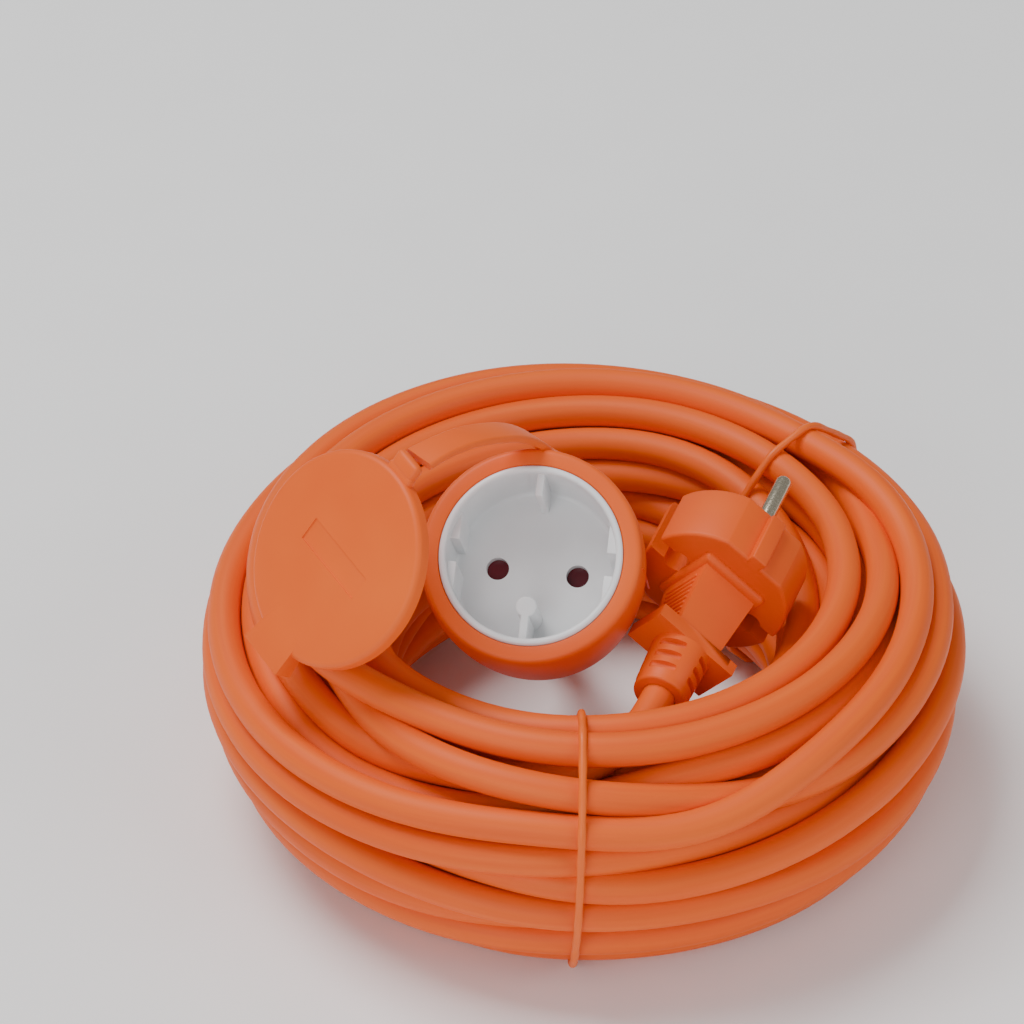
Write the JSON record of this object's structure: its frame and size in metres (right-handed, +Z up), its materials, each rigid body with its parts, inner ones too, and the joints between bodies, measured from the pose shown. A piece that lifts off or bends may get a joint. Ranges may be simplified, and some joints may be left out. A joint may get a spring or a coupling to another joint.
{
  "type": "extension cord",
  "caption": "Coiled two-pole extension cord with a capped in-line socket, shuttered holes and a moulded round-pin plug, held by string ties",
  "frame": {"origin": "on the floor under the middle of the coil", "axes": "+Z up along the coil's axis; -Y is the side that the socket faces; +X is the side that the plug lies on"},
  "size_m": [0.186, 0.1877, 0.1155],
  "materials": {
    "cord_jacket": "extruded soft PVC, satin",
    "tie_string": "plain plastic string",
    "moulded_orange": "moulded soft PVC, satin",
    "lid_orange": "moulded soft PVC, satin",
    "white_insert": "moulded, slightly glossy",
    "shutter_maroon": "moulded",
    "spring_steel": "bright drawn and pressed steel",
    "contact_brass": "pressed",
    "pin_metal": "nickel-washed and polished",
    "dark_collar": "moulded",
    "core_brown": "extruded",
    "core_blue": "extruded"
  },
  "bodies": {
    "cord_set": {"coil": "cord_jacket", "socket_lead": "cord_jacket", "plug_lead": "cord_jacket", "tie_front": "tie_string", "tie_back": "tie_string", "socket_housing": "moulded_orange", "socket_sleeve": "moulded_orange", "socket_insert": "white_insert", "shutter_spring": "spring_steel", "contact_carrier": "white_insert", "contact_clip_left": "contact_brass", "contact_clip_right": "contact_brass", "socket_crimps": "spring_steel", "socket_core_brown": "core_brown", "socket_core_blue": "core_blue", "lid_strap": "lid_orange", "plug_body": "moulded_orange", "plug_sleeve": "moulded_orange", "plug_bridge": "dark_collar", "pin_left": "pin_metal", "pin_right": "pin_metal", "pin_collars": "dark_collar", "plug_crimps": "spring_steel", "plug_core_brown": "core_brown", "plug_core_blue": "core_blue"},
    "strap_end": {"strap_end": "lid_orange"},
    "lid": {"lid": "lid_orange"},
    "shutter": {"shutter": "shutter_maroon"}
  },
  "joints": [
    {"name": "lid_swing", "type": "hinge", "parent": "cord_set", "child": "strap_end", "pos_m": [-0.0473, 0.00017, 0.08667], "axis": [-0.2504, 0.6078, 0.7535], "range_deg": [0, 62], "deforming": ["lid_strap"]},
    {"name": "lid_turn", "type": "hinge", "parent": "strap_end", "child": "lid", "pos_m": [-0.04098, -0.03021, 0.11328], "axis": [-0.474, -0.8688, -0.1433], "range_deg": [0, 36.4]},
    {"name": "shutter_turn", "type": "hinge", "parent": "cord_set", "child": "shutter", "pos_m": [-0.01093, -0.01095, 0.06668], "axis": [-0.0984, -0.6216, 0.7771], "range_deg": [0, 40], "stiffness_Nm_per_rad": 0.001}
  ],
  "couplings": [
    {"joint": "lid_turn", "follows": "lid_swing", "ratio": 0.58701}
  ]
}
